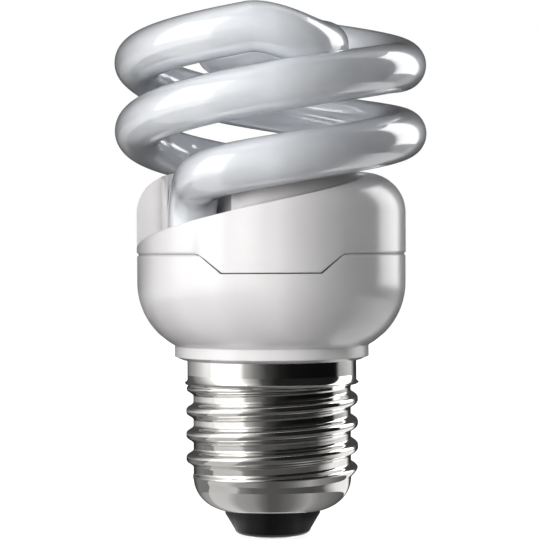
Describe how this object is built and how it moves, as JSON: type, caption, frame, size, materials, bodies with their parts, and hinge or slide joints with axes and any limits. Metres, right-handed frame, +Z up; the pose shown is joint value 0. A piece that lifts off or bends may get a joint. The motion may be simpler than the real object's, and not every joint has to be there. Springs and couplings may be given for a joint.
{
  "type": "spiral energy saving bulb",
  "caption": "Compact fluorescent lamp: a coiled glass discharge tube on a round plastic housing with a screw cap that turns into a lamp holder.",
  "frame": {"origin": "middle of the underside of the centre contact, on the lamp's axis, at the base of the bounding box", "axes": "+Z up the lamp's axis from the cap to the tube, +X to the right and -Y to the front of the picture"},
  "size_m": [0.0478, 0.0478, 0.0824],
  "materials": {
    "phosphor_glass": "clear glass over a white phosphor coating, glossy",
    "white_plastic": "satin white moulded plastic",
    "cap_metal": "nickel-plated, polished",
    "black_glass": "opaque black glass, glossy",
    "contact_metal": "tinned, dull",
    "board": "paper laminate, bare",
    "can_sleeve": "shrink sleeve, no print",
    "ferrite": "sintered, matt",
    "bobbin_plastic": "moulded",
    "copper_wire": "enamelled copper, gloss",
    "black_resin": "moulded epoxy",
    "film_dip": "dipped epoxy",
    "resistor_coat": "lacquer",
    "diac_glass": "small glass diode case",
    "tinned_wire": "tinned copper",
    "cement": "hardened cement, rough"
  },
  "bodies": {
    "root": {"discharge_tube": "phosphor_glass", "upper_cover": "white_plastic", "lower_housing": "white_plastic", "cap_shell": "cap_metal", "cap_insulator": "black_glass", "centre_contact": "contact_metal", "circuit_board": "board", "electrolytic_capacitor": "can_sleeve", "choke_core_upper": "ferrite", "choke_core_lower": "ferrite", "choke_bobbin": "bobbin_plastic", "choke_winding": "copper_wire", "ring_transformer_core": "ferrite", "ring_transformer_windings": "copper_wire", "power_transistor_1": "black_resin", "power_transistor_2": "black_resin", "blocking_capacitor": "film_dip", "resonant_capacitor": "film_dip", "input_inductor_core": "ferrite", "input_inductor_winding": "copper_wire", "rectifier_diodes": "black_resin", "resistors": "resistor_coat", "trigger_diac": "diac_glass", "fusible_resistor": "resistor_coat", "shell_lead_wire": "tinned_wire", "contact_lead_wire": "tinned_wire", "filament_lead_wires": "tinned_wire", "wire_wrap_pins": "tinned_wire", "tube_cement": "cement"}
  },
  "joints": []
}
